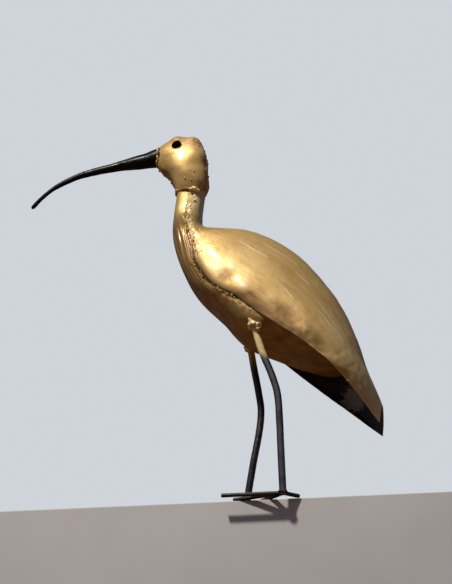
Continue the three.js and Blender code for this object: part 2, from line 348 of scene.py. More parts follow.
def makeScratch():
    # one scratch on the flattened sheet, thin at both ends
    tree, given, out = newGroup(
        "scratchMark", "ShaderNodeTree",
        {"Vector": "Vector", "Start": "Vector", "Run": "Vector", "Width": 0.0008}, {"Mark": "Float"})
    away = vectorMaths(tree, "SUBTRACT", given["Vector"], given["Start"])
    share = maths(tree, "DIVIDE", vectorMaths(tree, "DOT_PRODUCT", away, given["Run"], result=1),
                  vectorMaths(tree, "DOT_PRODUCT", given["Run"], given["Run"], result=1), clamp=True)
    nearest = scaled(tree, given["Run"], share)
    miss = vectorMaths(tree, "LENGTH", vectorMaths(tree, "SUBTRACT", away, nearest), result=1)
    near = maths(tree, "SUBTRACT", 1.0, maths(tree, "DIVIDE", miss, given["Width"]), clamp=True)
    left = maths(tree, "SUBTRACT", 1.0, share)
    taper = maths(tree, "MULTIPLY", maths(tree, "MULTIPLY", share, left), 4.0)
    tree.links.new(maths(tree, "MULTIPLY", near, maths(tree, "POWER", taper, 0.4)), out["Mark"])
    return tree


def makeGrit():
    # scattered pinholes and specks
    tree, given, out = newGroup(
        "grit", "ShaderNodeTree", {"Vector": "Vector", "Scale": 300.0, "Amount": 0.2}, {"Speck": "Float"})
    cells = put(tree, "ShaderNodeTexVoronoi", None, {"Vector": given["Vector"], "Scale": given["Scale"]})
    pick = put(tree, "ShaderNodeSeparateColor", None, {0: cells.outputs["Color"]}).outputs[0]
    chosen = maths(tree, "LESS_THAN", pick, given["Amount"])
    spot = maths(tree, "SUBTRACT", 1.0, maths(tree, "MULTIPLY", cells.outputs["Distance"], 2.6), clamp=True)
    tree.links.new(maths(tree, "MULTIPLY", chosen, spot), out["Speck"])
    return tree


mottle, streaks, scratch, grit = makeMottle(), makeStreaks(), makeScratch(), makeGrit()


def use(tree, group, **inputs):
    named = {label.replace("_", " "): value for label, value in inputs.items()}
    return put(tree, "ShaderNodeGroup", {"node_tree": group}, named).outputs


def newMaterial(name):
    made = bpy.data.materials.new(name)
    made.use_nodes = True
    tree = made.node_tree
    return made, tree, tree.nodes["Principled BSDF"]


def relief(tree, shader, *layers):
    # bumps one over the other: height, strength and depth in metres
    inputs = {}
    for height, strength, depth in layers:
        inputs.update({"Height": height, "Strength": strength, "Distance": depth})
        inputs["Normal"] = put(tree, "ShaderNodeBump", None, inputs).outputs[0]
    tree.links.new(inputs["Normal"], shader.inputs["Normal"])


goldLook = {
    "deep": (0.52, 0.30, 0.085, 1), "mid": (0.72, 0.475, 0.165, 1), "pale": (0.82, 0.60, 0.255, 1),
    # the soot colour also paints shade in crevices, and the worn pale gold also paints light on weld blobs
    "sootAndShade": (0.045, 0.022, 0.008, 1), "wornAndLitPale": (1.0, 0.86, 0.60, 1),
    # the next two colours are a pale gold of painted light, and a brown of painted shade and weld tarnish
    "paintedLightGold": (1.0, 0.82, 0.44, 1), "shadeAndTarnish": (0.20, 0.105, 0.026, 1),
    "toneScale": 16.0, "peelScale": 520.0, "wideScale": 5.0, "widePeel": 150.0,
    "speckScale": 230.0, "specks": 0.10, "lineAcross": 230.0, "brushAcross": 70.0,
    "onSheets": (10.0, 16.0), "onRound": (60.0, 30.0),     # scale of lines and brush marks along their way
    "metallic": 0.55, "mattMetal": 0.3, "paintedLightMetal": -0.6, "specular": 0.32,
    "roughLow": 0.36, "roughHigh": 0.48, "mattRough": 0.60, "sootAndShadeRough": 0.25, "lineRough": 0.25,
    "coat": 0.45, "coatRough": 0.2,
    "wideRelief": (0.25, 0.0012), "lineRelief": (0.22, 0.0005), "peelRelief": (0.30, 0.0004),
    "speckRelief": (0.35, 0.0004),     # strength, and depth in metres
}
scratchMarks = [  # row and degrees from the lower edge at the start, the same at the end, width in mm
    (2.34, 47.4, 3.66, 45.1, 0.9), (4.57, 52.8, 5.18, 53.7, 0.7), (5.83, 46.5, 7.01, 44.2, 0.9),
    (6.16, 37.9, 6.92, 37.9, 0.8), (6.9, 41.5, 7.6, 38.0, 0.7), (3.1, 60.0, 4.4, 62.0, 0.6),
    (4.9, 30.0, 5.5, 27.0, 0.6), (2.9, 128.0, 4.4, 131.0, 0.8), (5.2, 139.0, 6.6, 136.0, 0.9),
]
rowLength, arcLength = 0.045, 0.25     # metres of the flattened sheet per row, and round it


def scratched(tree, flat, scratches):
    marks = 0.0
    for startRow, startAngle, endRow, endAngle, width in scratches:
        start = (startRow * rowLength, startAngle / 180 * arcLength, 0)
        run = ((endRow - startRow) * rowLength, (endAngle - startAngle) / 180 * arcLength, 0)
        mark = use(tree, scratch, Vector=flat, Start=start, Run=run, Width=width * 0.001)["Mark"]
        marks = maths(tree, "MAXIMUM", marks, mark)
    return marks


def goldPaint(name, flattened=False, roughness=0.0, scratches=(), coat=1.0, tarnishAndShade=0.0, paintedLightPale=0.0):
    # four masks that the sheets carry on their points: soot with painted shade in crevices, matt, painted
    # shade, and painted light
    look = goldLook
    made, tree, shader = newMaterial(name)
    where = put(tree, "ShaderNodeTexCoord").outputs["Object"]
    flat = put(tree, "ShaderNodeUVMap", {"uv_map": "spread"}).outputs[0] if flattened else where
    tone = use(tree, mottle, Vector=where, Scale=look["toneScale"], Peel_Scale=look["peelScale"])
    wide = use(tree, mottle, Vector=where, Scale=look["wideScale"], Peel_Scale=look["widePeel"])
    speck = use(tree, grit, Vector=where, Scale=look["speckScale"], Amount=look["specks"])["Speck"]
    lineAlong, brushAlong = look["onSheets"] if flattened else look["onRound"]
    line = use(tree, streaks, Vector=flat, Along=lineAlong, Across=look["lineAcross"])["Streak"]
    brush = use(tree, streaks, Vector=flat, Along=brushAlong, Across=look["brushAcross"])["Streak"]
    grimeAndShade, matt, paintedShade, paintedLight = [
        put(tree, "ShaderNodeAttribute", {"attribute_name": mask}).outputs["Fac"]
        for mask in ("grimeAndShade", "matt", "paintedShade", "paintedLight")]

    layers = [  # where each colour lies over the ones before it, and how strongly
        # deep tones, streaks and specks are the paint's own; then come a brown of painted shade and weld
        # tarnish, a pale gold of painted light, and soot with painted shade
        (wide["Tone"], 0.35, "deep"), (ramp(tree, brush, 0.45, 0.66), 0.5, "deep"),
        (ramp(tree, line, 0.55, 0.72), 0.45, "pale"), (maths(tree, "MAXIMUM", paintedShade, tarnishAndShade), 1.0, "shadeAndTarnish"),
        (paintedLight, 0.8, "paintedLightGold"), (grimeAndShade, maths(tree, "MULTIPLY_ADD", tone["Peel"], 0.7, 0.55), "sootAndShade")]
    if scratches:
        layers.append((scratched(tree, flat, scratches), 0.95, "wornAndLitPale"))
    layers.append((speck, 0.5, "deep"))
    colour = mixColour(tree, tone["Tone"], look["mid"], look["pale"])
    # a paler mix, painted light on the weld blobs
    if paintedLightPale:
        colour = mixColour(tree, paintedLightPale, colour, look["wornAndLitPale"])
    for cover, strength, paint in layers:
        colour = mixColour(tree, maths(tree, "MULTIPLY", cover, strength, clamp=True), colour, look[paint])
    tree.links.new(colour, shader.inputs["Base Color"])

    rough = put(tree, "ShaderNodeMapRange", None, {
        0: tone["Tone"], 3: look["roughLow"] + roughness, 4: look["roughHigh"] + roughness}).outputs[0]
    rough = mixValue(tree, matt, rough, look["mattRough"])
    rough = maths(tree, "MULTIPLY_ADD", grimeAndShade, look["sootAndShadeRough"], rough)
    grain = maths(tree, "SUBTRACT", line, 0.5)
    rough = maths(tree, "MULTIPLY_ADD", grain, look["lineRough"], rough, clamp=True)
    tree.links.new(rough, shader.inputs["Roughness"])
    metal = mixValue(tree, matt, look["metallic"] * (1 - paintedLightPale), look["mattMetal"])
    # less metal where light is painted in
    metalShare = maths(tree, "MULTIPLY_ADD", paintedLight, look["paintedLightMetal"], 1.0, clamp=True)
    tree.links.new(maths(tree, "MULTIPLY", metal, metalShare), shader.inputs["Metallic"])
    shader.inputs["Specular IOR Level"].default_value = look["specular"]
    clean = maths(tree, "SUBTRACT", 1.0, maths(tree, "MAXIMUM", matt, grimeAndShade), clamp=True)
    tree.links.new(maths(tree, "MULTIPLY", clean, look["coat"] * coat), shader.inputs["Coat Weight"])
    shader.inputs["Coat Roughness"].default_value = look["coatRough"]
    unspecked = maths(tree, "SUBTRACT", 1.0, speck)
    relief(tree, shader, (wide["Peel"], *look["wideRelief"]), (line, *look["lineRelief"]),
           (tone["Peel"], *look["peelRelief"]), (unspecked, *look["speckRelief"]))
    return made


blackLook = {
    "toneScale": 40.0, "peelScale": 700.0, "speckScale": 420.0, "specks": 0.12, "speckCover": 0.35,
    "fleck": (0.16, 0.12, 0.10, 1), "tint": (0.05, 0.03, 0.03, 1),
    # painted shade: the bar is drawn darker at the edges where it turns away
    "paintedRimShade": (0.006, 0.005, 0.006, 1), "rimFrom": 0.07, "rimTo": 0.36,     # darker where the bar turns away
    # real gold overspray, drawn paler on the near leg as painted light
    "litOverspray": [(1.0, 0.79, 0.34, 1), (1.0, 0.90, 0.50, 1)],
    "toneRough": 0.18, "goldRough": 0.12, "coatRough": 0.32,
    "toneRelief": (0.35, 0.0008), "peelRelief": (0.3, 0.0004),
}


def blackPaint(name, colour, roughness, goldFrom=None, tint=blackLook["tint"], specular=0.5, coat=0.0):
    # goldFrom: height in mm where gold overspray takes over, its softness and slant
    look = blackLook
    made, tree, shader = newMaterial(name)
    where = put(tree, "ShaderNodeTexCoord").outputs["Object"]
    tone = use(tree, mottle, Vector=where, Scale=look["toneScale"], Peel_Scale=look["peelScale"])
    speck = use(tree, grit, Vector=where, Scale=look["speckScale"], Amount=look["specks"])["Speck"]
    shade = mixColour(tree, tone["Tone"], colour, tint)
    shade = mixColour(tree, maths(tree, "MULTIPLY", speck, look["speckCover"]), shade, look["fleck"])
    shader.inputs["Specular IOR Level"].default_value = specular
    shader.inputs["Coat Weight"].default_value = coat
    shader.inputs["Coat Roughness"].default_value = look["coatRough"]
    rough = maths(tree, "MULTIPLY_ADD", tone["Tone"], look["toneRough"], roughness)
    if coat:
        # painted shade at the bar's edges
        paintedRimShade = put(tree, "ShaderNodeLayerWeight", None, {"Blend": 0.5}).outputs["Facing"]
        shade = mixColour(tree, ramp(tree, paintedRimShade, look["rimFrom"], look["rimTo"]), shade, look["paintedRimShade"])
    if goldFrom:
        height, softness, slant = goldFrom
        axes = put(tree, "ShaderNodeSeparateXYZ", None, {0: where}).outputs
        level = maths(tree, "MULTIPLY_ADD", axes[0], slant, axes[2])
        level = maths(tree, "MULTIPLY_ADD", maths(tree, "SUBTRACT", tone["Peel"], 0.5), softness, level)
        mask = ramp(tree, level, height * 0.001 - softness / 2, height * 0.001 + softness / 2)
        # on the near leg the overspray is paler, painted light
        gold = mixColour(tree, tone["Tone"], *look["litOverspray"]) if coat else goldLook["mid"]
        shade = mixColour(tree, mask, shade, gold)
        rough = maths(tree, "MULTIPLY_ADD", mask, look["goldRough"], rough)
    tree.links.new(shade, shader.inputs["Base Color"])
    tree.links.new(rough, shader.inputs["Roughness"])
    relief(tree, shader, (tone["Tone"], *look["toneRelief"]), (tone["Peel"], *look["peelRelief"]))
    return made


insideLook = {
    "toneScale": 34.0, "peelScale": 380.0, "sootAndShade": [(0.004, 0.003, 0.003, 1), (0.013, 0.010, 0.009, 1)],
    # a grey patch of painted reflection on the inside of the far wing near the tail
    "reflectionPatch": (0.38, 0.41, 0.41, 1), "patchAt": (0.214, 0.078, 0.180), "patchReach": 0.037, "patchFull": 0.006,
    "patchPull": 0.29, "patchGrain": (150.0, 6.0, 0.75), "patchFrom": (0.60, 0.72), "patchCover": 0.75,
    "roughness": 0.42, "peelRough": 0.3, "peelRelief": (0.4, 0.0008),
}


def insidePaint():
    # raw inside of the sheets: sooty black deepened as painted shade of the hollow, with one grey patch of
    # painted reflection
    look = insideLook
    made, tree, shader = newMaterial("insidePaint")
    where = put(tree, "ShaderNodeTexCoord").outputs["Object"]
    tone = use(tree, mottle, Vector=where, Scale=look["toneScale"], Peel_Scale=look["peelScale"])
    away = vectorMaths(tree, "DISTANCE", where, look["patchAt"], result=1)
    near = ramp(tree, away, look["patchReach"], look["patchFull"])
    reflectionPatch = maths(tree, "MULTIPLY_ADD", near, look["patchPull"], noiseAt(tree, where, *look["patchGrain"]))
    shade = mixColour(tree, tone["Tone"], *look["sootAndShade"])
    reflectionPatch = maths(tree, "MULTIPLY", ramp(tree, reflectionPatch, *look["patchFrom"]), look["patchCover"])
    shade = mixColour(tree, reflectionPatch, shade, look["reflectionPatch"])
    tree.links.new(shade, shader.inputs["Base Color"])
    rough = maths(tree, "MULTIPLY_ADD", tone["Peel"], look["peelRough"], look["roughness"])
    tree.links.new(rough, shader.inputs["Roughness"])
    relief(tree, shader, (tone["Peel"], *look["peelRelief"]))
    return made


backGold = goldPaint("backGold", flattened=True, scratches=scratchMarks)
bellyGold = goldPaint("bellyGold", flattened=True, roughness=0.03)
headGold = goldPaint("headGold")
# weld blobs darker by tarnish and by painted shade between them
weldGold = goldPaint("weldGold", roughness=0.10, coat=0.3, tarnishAndShade=0.25)
# the body seam's weld drawn darker: tarnish and painted shade of the seam crevice
darkWeldGold = goldPaint("darkWeldGold", roughness=0.10, coat=0.3, tarnishAndShade=0.55)
# weld blobs drawn paler gold as painted light
knotGold = goldPaint("knotGold", roughness=0.12, coat=0.5, paintedLightPale=0.6)
insideBlack = insidePaint()
billBlack = blackPaint("billBlack", (0.0012, 0.0014, 0.002, 1), 0.22, tint=(0.002, 0.003, 0.005, 1),
                       specular=0.22)
toeBlack = blackPaint("toeBlack", (0.010, 0.008, 0.008, 1), 0.34)
legPaints = {
    # the near leg is the same black paint drawn grey as painted light, with painted shade at its edges; the
    # far leg keeps the plain black
    "left": blackPaint("legLeftPaint", (0.14, 0.13, 0.15, 1), 0.34, (233, 0.012, 0.35), coat=1.0),
    "right": blackPaint("legRightPaint", (0.010, 0.008, 0.008, 1), 0.34, (243, 0.034, 0.1)),
}
print("paints mixed")


def ripple(tree, mesh, scale, amount):
    # push the surface in and out a little
    grain = put(tree, "ShaderNodeTexNoise", None, {"Scale": scale, "Detail": 2.0}).outputs[0]
    push = maths(tree, "MULTIPLY", maths(tree, "SUBTRACT", grain, 0.5), amount)
    offset = scaled(tree, put(tree, "GeometryNodeInputNormal").outputs[0], push)
    return put(tree, "GeometryNodeSetPosition", None, {"Geometry": mesh, "Offset": offset}).outputs[0]


def resampled(tree, given, spacing):
    curve = put(tree, "GeometryNodeMeshToCurve", None, {0: given["Path"]}).outputs[0]
    return put(tree, "GeometryNodeResampleCurve", {"mode": "LENGTH"}, {
        "Curve": curve, "Length": given[spacing]}).outputs[0]


def painted(tree, mesh, given, result):
    mesh = put(tree, "GeometryNodeSetShadeSmooth", None, {"Geometry": mesh}).outputs[0]
    mesh = put(tree, "GeometryNodeRealizeInstances", None, {"Geometry": mesh}).outputs[0]
    mesh = put(tree, "GeometryNodeSetMaterial", None, {
        "Geometry": mesh, "Material": given["Paint"]}).outputs[0]
    tree.links.new(mesh, result)


def makeBarTree():
    # a round bar along a path, with nothing of it lower than Floor
    tree, given, out = newGroup("roundBar", "GeometryNodeTree", {
        "Path": "Geometry", "Radius": 0.005, "Sides": 20, "Step": 0.003, "Wobble": 0.0002, "Floor": 0.0,
        "Paint": "Material"}, {"Bar": "Geometry"})
    curve = resampled(tree, given, "Step")
    curve = put(tree, "GeometryNodeSetCurveNormal", {"mode": "Z_UP"}, {"Curve": curve}).outputs[0]
    ring = put(tree, "GeometryNodeCurvePrimitiveCircle", None, {
        "Resolution": given["Sides"], "Radius": given["Radius"]}).outputs[0]
    bar = put(tree, "GeometryNodeCurveToMesh", None, {
        "Curve": curve, "Profile Curve": ring, "Fill Caps": True}).outputs[0]
    bar = ripple(tree, bar, 160.0, given["Wobble"])
    place = put(tree, "GeometryNodeInputPosition").outputs[0]
    axes = put(tree, "ShaderNodeSeparateXYZ", None, {0: place}).outputs
    grounded = put(tree, "ShaderNodeCombineXYZ", None, {
        0: axes[0], 1: axes[1], 2: maths(tree, "MAXIMUM", axes[2], given["Floor"])}).outputs[0]
    bar = put(tree, "GeometryNodeSetPosition", None, {"Geometry": bar, "Position": grounded}).outputs[0]
    painted(tree, bar, given, out["Bar"])
    return tree


def makeBeadTree():
    # a run of weld: blobs strung along a path and melted together
    tree, given, out = newGroup("weldBead", "GeometryNodeTree", {
        "Path": "Geometry", "Spacing": 0.003, "Smallest": 0.001, "Largest": 0.002, "Jitter": 0.001,
        "Voxel": 0.0005, "Ripple": 0.0004, "Seed": 1, "Paint": "Material"}, {"Bead": "Geometry"})
    curve = resampled(tree, given, "Spacing")
    loose = put(tree, "FunctionNodeRandomValue", {"data_type": "FLOAT_VECTOR"}, {
        0: (-1, -1, -1), 1: (1, 1, 1), "Seed": given["Seed"]}).outputs[0]
    curve = put(tree, "GeometryNodeSetPosition", None, {
        "Geometry": curve, "Offset": scaled(tree, loose, given["Jitter"])}).outputs[0]
    ball = put(tree, "GeometryNodeMeshIcoSphere", None, {"Radius": 1.0, "Subdivisions": 2}).outputs[0]
    otherSeed = maths(tree, "ADD", given["Seed"], 11.0)
    size = put(tree, "FunctionNodeRandomValue", {"data_type": "FLOAT"}, {
        2: given["Smallest"], 3: given["Largest"], "Seed": otherSeed}).outputs[1]
    blobs = put(tree, "GeometryNodeInstanceOnPoints", None, {
        "Points": curve, "Instance": ball, "Scale": size}).outputs[0]
    blobs = put(tree, "GeometryNodeRealizeInstances", None, {"Geometry": blobs}).outputs[0]
    melt = put(tree, "GeometryNodeMeshToVolume", {"resolution_mode": "VOXEL_SIZE"}, {
        "Mesh": blobs, "Voxel Size": given["Voxel"]}).outputs[0]
    bead = put(tree, "GeometryNodeVolumeToMesh", None, {"Volume": melt, "Threshold": 0.1}).outputs[0]
    painted(tree, ripple(tree, bead, 520.0, given["Ripple"]), given, out["Bead"])
    return tree


barTree, beadTree = makeBarTree(), makeBeadTree()


def pathPiece(name, paths):
    # paths: lists of points in mm, with True when the path closes on itself
    points, edges = [], []
    for path, closed in paths:
        first = len(points)
        points += [tuple(p) for p in toFrame(path)]
        edges += [(n, n + 1) for n in range(first, len(points) - 1)]
        if closed:
            edges.append((len(points) - 1, first))
    mesh = bpy.data.meshes.new(name)
    mesh.from_pydata(points, edges, [])
    return linked(name, mesh)


def grow(name, tree, paths, **values):
    piece = pathPiece(name, paths)
    modifier = piece.modifiers.new("grow", "NODES")
    modifier.node_group = tree
    sockets = {item.name: item.identifier for item in tree.interface.items_tree if item.in_out == "INPUT"}
    for label, value in values.items():
        modifier[sockets[label]] = value
    settle(piece)
    print(name, len(piece.data.polygons), "faces")
    return piece


def finishPiece(piece, slot, *nodes):
    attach(piece, "root")
    if nodes:
        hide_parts(*nodes)
    return piece


# Bands are written as: amount, how far in from the side seam, width, and the
# rows where they come and go.
back = {
    "rows": [(-3, 0, 80), (0, 4.4, 150), (4.4, 10, 80)], "columns": 132, "endX": 249.9,
    "hammer": [(70, 0.8), (26, 0.4), (10, 0.13)], "hammerFrom": (-1.0, 1.5),
    "tuck": (1.7, 0, 6, (1.0, 2.2, 4.3, 5.2)), "bulge": (2.5, 44, 24, (3.7, 5.2, 8.2, 9.8)),
    "roll": 3.0, "rollWidth": 24, "rollRows": (3.4, 4.8, 8.6, 9.9),
    "struck": 1.2, "struckMarks": (8.5, 6.1), "struckMore": 0.1, "struckRows": (3.4, 4.8, 8.6, 9.8),
    "struckWidth": 34, "struckInside": 0.25,
    "squareness": 2.2, "corners": (52, 128), "cornerWidth": 20, "squareUntil": (-1.2, 0.2),
    "weldWidth": 7, "shoulderWider": 10, "shoulderRow": 0.3, "shoulderRows": 0.9,
    "dents": [  # centre, direction, reach, width, depth
        ((33, -51, 326), (13, 2, 18), 15, 10, 1.6), ((18, -40, 366), (27, -14, -43), 24, 12, -1.6),
        ((50, -56, 321), (10, -6, -18), 12, 10, -1.8), ((70, -69, 285), (14, -3, -6), 14, 8, 2.0),
        ((125, -84, 252), (14, -7, -20), 19, 12, 3.4), ((174, -94, 193), (20, 2, -18), 20, 12, 3.4),
        ((150, -90, 220), (15, -3, -20), 13, 9, -1.5), ((206, -78, 152), (5, 3, -20), 10, 7, 1.2),
        ((96, -62, 298), (14, -7, -20), 26, 14, 1.2), ((40, 52, 330), (14, 2, -16), 16, 9, 1.5),
        ((95, 72, 280), (14, 5, -18), 18, 10, 2.3), ((160, 90, 215), (16, 0, -20), 20, 10, 2.4),
        ((130, 55, 320), (14, 7, -20), 22, 15, 0.8), ((100, -74, 262), (16, -6, -18), 12, 7, 1.4)],
    "paintMasks": {
        # soot with painted shade at the seam and pits; painted shade on the flank, valley, dents, matt parts
        # and seam; painted light on the tail, lower edge and neck band
        "sootAndShade": (0.9, 0, 3.5, (1.2, 2.2, 4.6, 5.4)), "pitSootAndShade": 0.5,
        "polishedUntil": (0.2, 1.4), "polishedInside": (2, 12),
        "polished": [((6, 35, 382), 22), ((20, 43, 358), 22), ((48, 56, 322), 16)],     # centre and reach
        "valley": ((32, -51, 325), (13, 2, 18), 15, 7, 1.0),
        "valleyShade": ((31, -51, 325), (13, 2, 18), 15, 7, 0.14),
        "neckBand": 9, "neckBandUntil": (-0.4, 0.8), "neckBandMatt": 0.8,
        "flank": (1, 0, 26, (3.6, 4.8, 6.8, 8.2)), "flankShade": 0.75, "flankClouds": 0.5,
        "dentShade": 0.09, "dentShadeMost": 0.3, "mattShade": 0.30, "tailClear": 0.9, "tailClearFrom": (5.5, 8),
        "seamShade": (0.5, 0, 12, (1.4, 2.4, 4.2, 5.4)),
        "tailPaintedLight": 0.38, "tailPaintedLightFrom": (7.2, 9.2), "edgeHighlight": (0.5, 0, 1.6, (4.2, 5.2)),
    },
}
weldLook = {
    "until": (1.2, 2.4), "drift": 8.5, "driftUntil": (-2.4, -0.9),
    "bumps": [(8.0, 3.1, 1.2), (3.6, 8.4, 0.4)],
    "pits": (2.9, 17.7), "pitsOver": 0.34, "pitSlope": 6, "pitDepth": 0.7, "pitSootAndShade": 0.5,
}


def weldRoughness(points, distance, reach):
    # bumps and pits left by welding and grinding, near the side seam, with a mask that darkens the pits as
    # soot and painted shade
    look = weldLook
    band = bell(distance, reach)
    pits = np.clip(lumps(points, *look["pits"]) - look["pitsOver"], 0, 1) * look["pitSlope"]
    rough = band * (lumpy(points, look["bumps"]) - pits * look["pitDepth"])
    return rough, band * np.clip(pits * look["pitSootAndShade"], 0, 1)


def seamShift(rows):
    # high on the neck the weld wanders towards the back
    return weldLook["drift"] * (1 - smooth(rows, *weldLook["driftUntil"]))


def edgeRoll(rows, distance, width):
    # the wings' lower edges are rolled in a little, all but at the neck and tail
    return between(rows, *back["rollRows"]) * np.clip(1 - distance / width, 0, 1) ** 2


def squared(angle, rows, sheet):
    # the sheet is squarer than round where it makes half of the neck
    degrees = np.degrees(angle)
    corner = sum(bell(degrees - at, sheet["cornerWidth"]) for at in sheet["corners"])
    return sheet["squareness"] * corner * (1 - smooth(rows, *sheet["squareUntil"]))


def mirrored(points, place):
    # distance from a place that both sides have
    return np.linalg.norm(np.abs(points * [0, 1, 0]) + points * [1, 0, 1] - place, axis=-1)


def flattenedPlace(rows, angle):
    return np.stack([rows * rowLength, np.broadcast_to(angle / math.pi * arcLength, rows.shape)], -1)


def paintMasksBack(points, rows, edge, beaten, pits, upper):
    # masks for the back's paint, from its shape before it is beaten: soot with painted shade at the seam and
    # pits, matt, painted shade and painted light
    paintMasks = back["paintMasks"]
    grimeAndShade = stripe(rows, edge, *paintMasks["sootAndShade"]) + paintMasks["pitSootAndShade"] * pits * upper
    shiny = 1 - smooth(rows, *paintMasks["polishedUntil"])
    for place, reach in paintMasks["polished"]:
        shiny = np.maximum(shiny, bell(mirrored(points, place), reach))
    matt = 1 - shiny * smooth(edge, *paintMasks["polishedInside"]) * (1 + dent(points, *paintMasks["valley"]))
    band = upper * bell(edge - seamShift(rows), paintMasks["neckBand"]) * (1 - smooth(rows, *paintMasks["neckBandUntil"]))
    matt = np.maximum(matt, paintMasks["neckBandMatt"] * band)
    clouds = paintMasks["flankShade"] + paintMasks["flankClouds"] * lumps(points, 14, 4.4)
    # painted shade on the lower flank, in the valley and dents, away from the polished spots and along the
    # seam
    paintedShade = stripe(rows, edge, *paintMasks["flank"]) * clouds - dent(points, *paintMasks["valleyShade"])
    paintedShade = paintedShade + np.clip(-beaten * paintMasks["dentShade"], 0, paintMasks["dentShadeMost"])
    paintedShade = paintedShade + paintMasks["mattShade"] * matt * (1 - paintMasks["tailClear"] * smooth(rows, *paintMasks["tailClearFrom"]))
    paintedShade = paintedShade + stripe(rows, edge, *paintMasks["seamShade"])
    # painted light on the tail, along the lower edge and on the neck's weld band
    paintedLight = paintMasks["tailPaintedLight"] * smooth(rows, *paintMasks["tailPaintedLightFrom"]) + stripe(rows, edge, *paintMasks["edgeHighlight"]) + band
    return {"grimeAndShade": grimeAndShade, "matt": matt, "paintedShade": paintedShade, "paintedLight": paintedLight}


def makeBack():
    t = steps(back["rows"])
    angle = np.linspace(0, math.pi, back["columns"])
    points = backSurface(t, angle)
    edge = edgeDistance(points)
    rows = np.broadcast_to(t[:, None], edge.shape)
    push = hammered(points, back["hammer"]) * smooth(rows, *back["hammerFrom"])
    beaten = sum(dent(points, *place) for place in back["dents"])
    push = push + beaten
    push = push - stripe(rows, edge, *back["tuck"])
    push = push - back["roll"] * edgeRoll(rows, edge, back["rollWidth"])
    inside = back["struckInside"]
    struck = between(rows, *back["struckRows"]) * (inside + (1 - inside) * bell(edge, back["struckWidth"]))
    marks = np.clip(lumps(points, *back["struckMarks"]) + back["struckMore"], 0, 1)
    push = push - back["struck"] * struck * marks
    push = push + stripe(rows, edge, *back["bulge"])
    push = push + squared(angle, rows, back)
    shoulder = bell(rows - back["shoulderRow"], back["shoulderRows"])
    reach = back["weldWidth"] + back["shoulderWider"] * shoulder
    rough, pits = weldRoughness(points, edge - seamShift(rows), reach)
    upper = 1 - smooth(rows, *weldLook["until"])
    push = push + rough * upper
    masks = paintMasksBack(points, rows, edge, beaten, pits, upper)
    points = points + normalsOf(points) * push[..., None]
    points[..., 0] = np.minimum(points[..., 0], back["endX"])
    piece = gridPiece("backSheet", points, spread=flattenedPlace(rows, angle), **masks)
    piece.data.materials.append(backGold)
    piece.data.materials.append(insideBlack)
    return finishPiece(thicken(piece), "gold_paint", "back_shell", "neck"), points


backPiece, backPoints = makeBack()
print("back sheet", len(backPiece.data.polygons), "faces")

belly = {
    "rows": [(-3, 0, 80), (0, 4.3, 120), (4.3, 7.3, 60)], "columns": 120,
    "hammer": [(60, 0.8), (24, 0.4), (9, 0.12)], "hammerFrom": (-1.0, 1.5),
    "inset": (1.6, 0, 8, (1.0, 2.2, 4.0, 4.6)), "weldWidth": 6.0,
    "ripples": (1, 5, 5, (1.6, 2.4, 4.6, 5.6)), "rollShare": 0.9, "rollWider": 1.3,
    "besideWeld": [(6.5, 9.0, 2.2), (3.0, 5.0, 0.8)],
    "crease": 1.4, "creaseRows": (-0.9, 0.4, 2.4, 3.8), "creaseLong": 0.55, "creaseClose": 7.5,
    "squareness": 1.6, "corners": (44, 136), "cornerWidth": 20, "squareUntil": (-0.8, 0.6),
    "dents": [((50, -20, 248), (14, 4, -8), 14, 10, 0.8), ((100, -50, 235), (20, -5, -5), 20, 14, 1.0),
              ((0, -40, 310), (16, -8, -20), 22, 10, 0.8), ((110, 40, 228), (20, 5, -5), 24, 14, 0.9)],
    "paintMasks": {
        # soot with painted shade at the seam and pits, painted shade at the rear rim, then painted shade over
        # breast and belly
        "sootAndShade": (0.9, 0, 3.0, (1.2, 2.2)), "pitSootAndShade": 0.6, "rimShade": 0.30, "rimShadeFrom": (6.3, 7.3),
        "paintedShade": 0.8, "paintedShadeFrom": (-1.3, 0.4), "clearer": 0.24, "clearerFrom": (1.4, 2.8),
        "seamShade": (0.3, 0, 14, (1.2, 2.2, 3.6, 4.8)),
        "breastShade": 0.15, "breastRow": 2.8, "breastRows": 0.8,
        "clouds": 0.35, "cloudsFrom": (2.5, 4), "mattFrom": (0.0, 1.6),
    },
}


def paintMasksBelly(points, rows, edge, pits, upper):
    # masks for the belly's paint, from its shape before it is beaten: soot with painted shade at the seam and
    # pits, painted shade at the rear rim and over breast and belly, and matt
    paintMasks = belly["paintMasks"]
    grimeAndShade = stripe(rows, edge, *paintMasks["sootAndShade"]) + paintMasks["pitSootAndShade"] * pits * upper
    # painted shade at the rear rim, under the back sheet
    grimeAndShade = grimeAndShade + paintMasks["rimShade"] * smooth(rows, *paintMasks["rimShadeFrom"])
    # painted shade over the breast and belly, which face down
    paintedShade = smooth(rows, *paintMasks["paintedShadeFrom"]) * paintMasks["paintedShade"]
    paintedShade = paintedShade - paintMasks["clearer"] * smooth(rows, *paintMasks["clearerFrom"])
    paintedShade = paintedShade + stripe(rows, edge, *paintMasks["seamShade"])
    paintedShade = paintedShade + paintMasks["breastShade"] * bell(rows - paintMasks["breastRow"], paintMasks["breastRows"])
    paintedShade = paintedShade + paintMasks["clouds"] * lumps(points, 16, 7.7) * smooth(rows, *paintMasks["cloudsFrom"])
    return {"grimeAndShade": grimeAndShade, "matt": smooth(rows, *paintMasks["mattFrom"]), "paintedShade": paintedShade}


